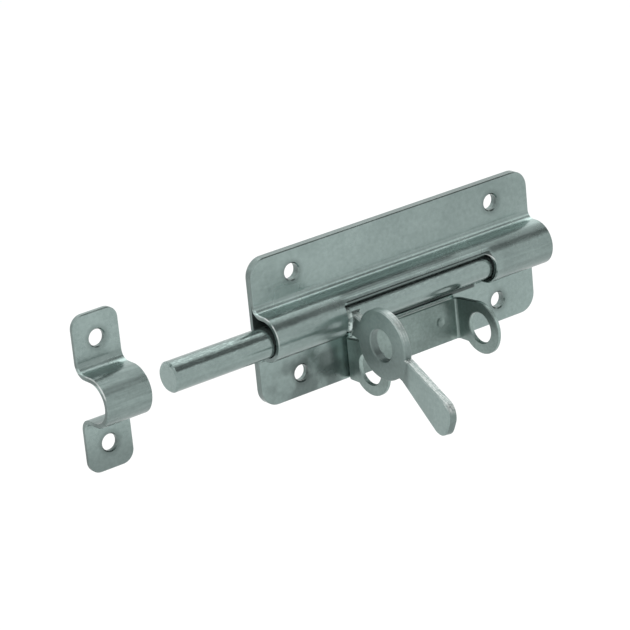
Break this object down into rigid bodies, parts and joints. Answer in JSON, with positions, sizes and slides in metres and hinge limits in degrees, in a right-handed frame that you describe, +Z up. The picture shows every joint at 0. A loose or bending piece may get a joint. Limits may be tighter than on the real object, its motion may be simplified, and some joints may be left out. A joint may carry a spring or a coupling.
{
  "type": "padbolt",
  "caption": "Sliding round bolt in a humped case, with a handle that drops beside padlock lugs, and a separate arched keeper strap.",
  "frame": {"origin": "middle of the case's four screw holes, on the back face that lies against the door", "axes": "+X along the bolt, from the keeper towards the case; +Y into the door; +Z up; the front faces -Y"},
  "size_m": [0.1787, 0.0624, 0.053],
  "materials": {
    "plate_zinc": "bright zinc plated pressed sheet, softly mottled",
    "bolt_zinc": "bright zinc plated bar and forging"
  },
  "bodies": {
    "case": {"back_plate": "plate_zinc", "front_cover": "plate_zinc", "lug_bracket": "plate_zinc", "keeper": "plate_zinc"},
    "bolt": {"bolt_rod": "bolt_zinc"},
    "handle": {"handle": "bolt_zinc"}
  },
  "joints": [
    {"name": "bolt_slide", "type": "slide", "parent": "case", "child": "bolt", "axis": [1, 0, 0], "range_m": [-0.0009, 0.0536]},
    {"name": "handle_turn", "type": "hinge", "parent": "bolt", "child": "handle", "pos_m": [-0.02545, -0.007, -0.0008], "axis": [-1, 0, 0], "range_deg": [-51.5, 30]}
  ]
}
